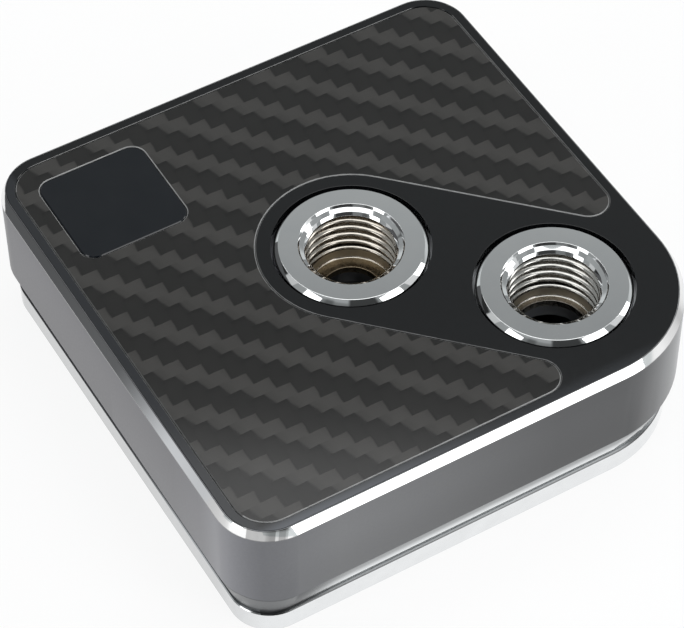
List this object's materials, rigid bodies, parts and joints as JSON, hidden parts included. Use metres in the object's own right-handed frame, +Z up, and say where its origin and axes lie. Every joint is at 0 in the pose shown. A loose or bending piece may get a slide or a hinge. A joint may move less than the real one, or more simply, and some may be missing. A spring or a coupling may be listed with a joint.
{
  "type": "liquid cooling cold plate",
  "caption": "Square metal cold plate for liquid cooling, with a carbon-faced black top, threaded chromed ports, a sealed chamber with micro-fins and a flat nickelled contact face.",
  "frame": {"origin": "middle of the flat contact face under the block, on the axis of the middle port", "axes": "+Z up out of the ports, away from the cooled chip; the second port and the large-radius corner lie toward +X, -Y; the badge lies toward -X, +Y"},
  "size_m": [0.07, 0.07, 0.0214],
  "materials": {
    "housing_metal": "satin bead-blasted walls with a polished bevel",
    "nickel": "bright nickel plate on copper",
    "black_plate": "black anodised, fine satin",
    "carbon": "two by two twill carbon laminate, satin",
    "badge": "dark, low gloss",
    "adhesive": "thin double-sided film",
    "chrome": "polished chrome outside, bare nickel thread",
    "seal_rubber": "matt",
    "gasket_rubber": "matt silicone",
    "steel_sheet": "brushed",
    "divider_plastic": "moulded, matt",
    "screw_steel": "plain steel",
    "insert_brass": "turned"
  },
  "bodies": {
    "root": {"housing": "housing_metal", "cold_plate": "nickel", "top_plate": "black_plate", "plate_adhesive": "adhesive", "carbon_inlay": "carbon", "inlay_adhesive": "adhesive", "badge_tile": "badge", "badge_adhesive": "adhesive", "port_bush_center": "chrome", "port_bush_corner": "chrome", "bush_seal_center": "seal_rubber", "bush_seal_corner": "seal_rubber", "main_seal": "seal_rubber", "inlet_seal": "seal_rubber", "jet_gasket": "gasket_rubber", "jet_plate": "steel_sheet", "flow_divider": "divider_plastic", "cold_plate_screws": "screw_steel", "divider_screws": "screw_steel", "bracket_inserts": "insert_brass"}
  },
  "joints": []
}
